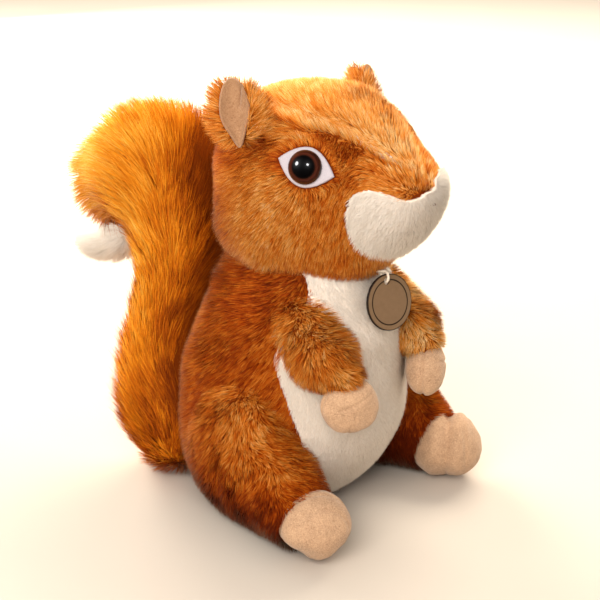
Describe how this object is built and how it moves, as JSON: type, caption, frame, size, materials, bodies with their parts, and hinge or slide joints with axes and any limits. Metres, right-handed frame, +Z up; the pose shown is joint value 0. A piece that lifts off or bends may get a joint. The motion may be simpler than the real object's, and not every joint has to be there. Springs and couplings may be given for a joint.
{
  "type": "plush squirrel",
  "caption": "Sitting stuffed squirrel with a curled bushy tail, white muzzle and belly, safety eyes, and a round tag that swings on a cord loop at its neck.",
  "frame": {"origin": "on the flat base of the body, in the plane it sits on, on the toy's middle line", "axes": "+Z up; the face looks along -Y and the tail is on the +Y side; the toy's own right side is -X"},
  "size_m": [0.1596, 0.26, 0.245],
  "materials": {
    "orange_plush": "short dense plush pile, combed",
    "golden_plush": "long soft plush pile",
    "white_plush": "very short smooth plush",
    "beige_suede": "matt brushed suede cloth, sewn",
    "ear_suede": "matt brushed suede cloth",
    "white_felt": "matt pressed felt",
    "brown_eye": "polished, brown iris ring round a black pupil",
    "wadding": "loose polyester wadding",
    "white_plastic": "plain moulded",
    "tag_board": "thin matt board with a dark cut edge and two dark rings",
    "cream_cord": "thin twisted cotton cord"
  },
  "bodies": {
    "toy": {"body_skin": "orange_plush", "belly_panel": "white_plush", "body_filling": "wadding", "head_skin": "orange_plush", "muzzle_patch": "white_plush", "head_filling": "wadding", "right_ear": "orange_plush", "left_ear": "orange_plush", "right_ear_lining": "ear_suede", "left_ear_lining": "ear_suede", "right_eye": "brown_eye", "left_eye": "brown_eye", "right_eye_patch": "white_felt", "left_eye_patch": "white_felt", "right_eye_washer": "white_plastic", "left_eye_washer": "white_plastic", "right_arm_skin": "orange_plush", "left_arm_skin": "orange_plush", "right_hand": "beige_suede", "left_hand": "beige_suede", "right_arm_filling": "wadding", "left_arm_filling": "wadding", "right_leg_skin": "orange_plush", "left_leg_skin": "orange_plush", "right_foot": "beige_suede", "left_foot": "beige_suede", "right_leg_filling": "wadding", "left_leg_filling": "wadding", "tail_skin": "golden_plush", "tail_filling": "wadding"},
    "hang_tag": {"tag_disc": "tag_board", "tag_loop": "cream_cord"}
  },
  "joints": [
    {"name": "tag_swing", "type": "hinge", "parent": "toy", "child": "hang_tag", "pos_m": [-0.0015, -0.0555, 0.1432], "axis": [-0.9848, 0.1736, 0], "range_deg": [0, 30]}
  ]
}
